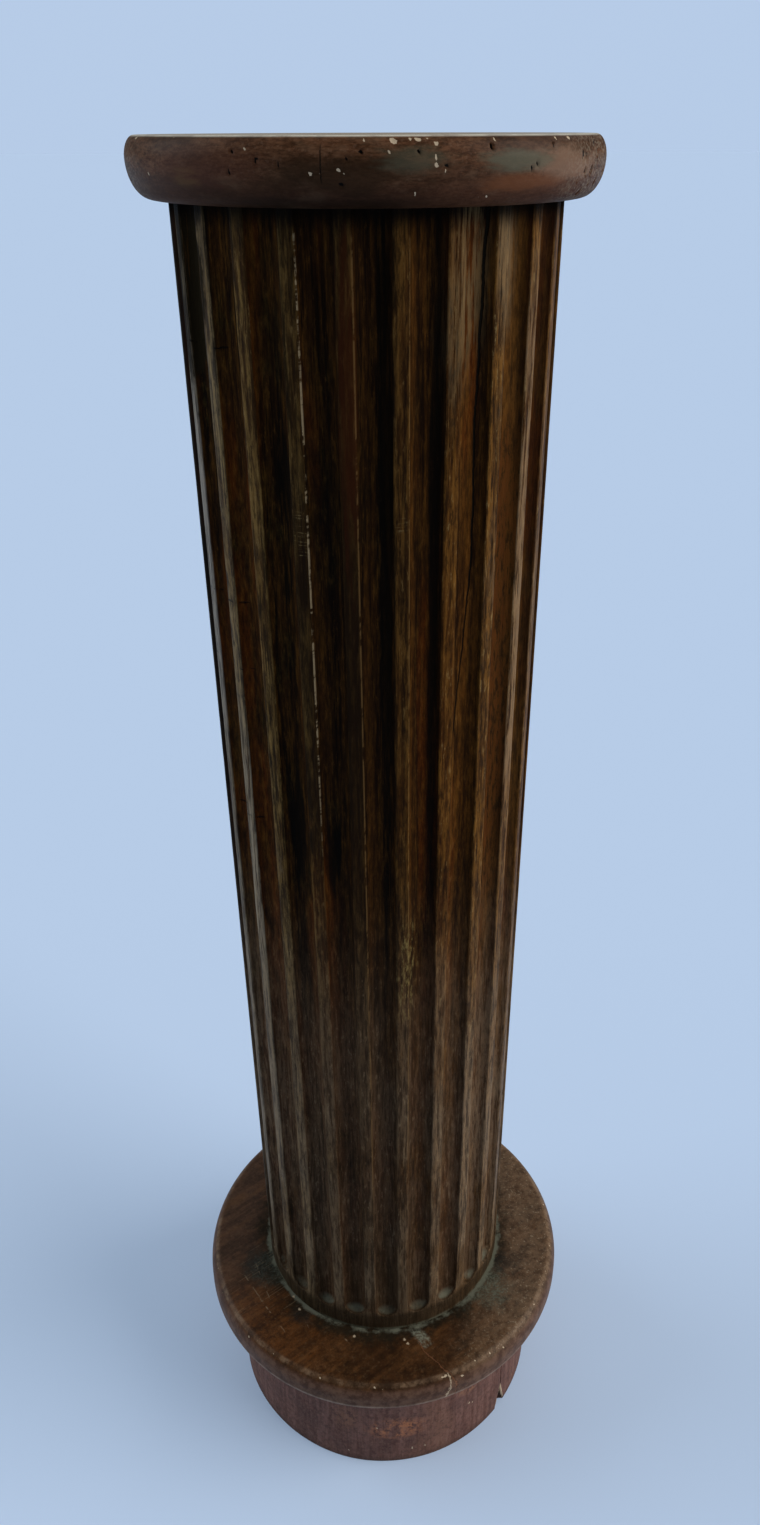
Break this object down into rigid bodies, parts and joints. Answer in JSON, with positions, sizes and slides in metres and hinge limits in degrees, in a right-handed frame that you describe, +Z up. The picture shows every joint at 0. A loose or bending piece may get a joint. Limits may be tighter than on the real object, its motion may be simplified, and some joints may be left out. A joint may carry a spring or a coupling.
{
  "type": "fluted column",
  "caption": "Wooden pedestal column with a fluted round shaft between turned discs, on a plain round plinth, with a flat top to stand things on.",
  "frame": {"origin": "middle of the underside, on the floor", "axes": "+Z up along the column's axis, -Y towards the side that the picture shows"},
  "size_m": [0.308, 0.308, 1],
  "materials": {
    "plinth_wood": "matt, worn and scratched",
    "base_wood": "worn wax with grime",
    "shaft_wood": "dark worn stain and wax",
    "top_wood": "dull worn wax with worm holes"
  },
  "bodies": {
    "root": {"plinth_drum": "plinth_wood", "base_disc": "base_wood", "fluted_shaft": "shaft_wood", "top_disc": "top_wood"}
  },
  "joints": []
}
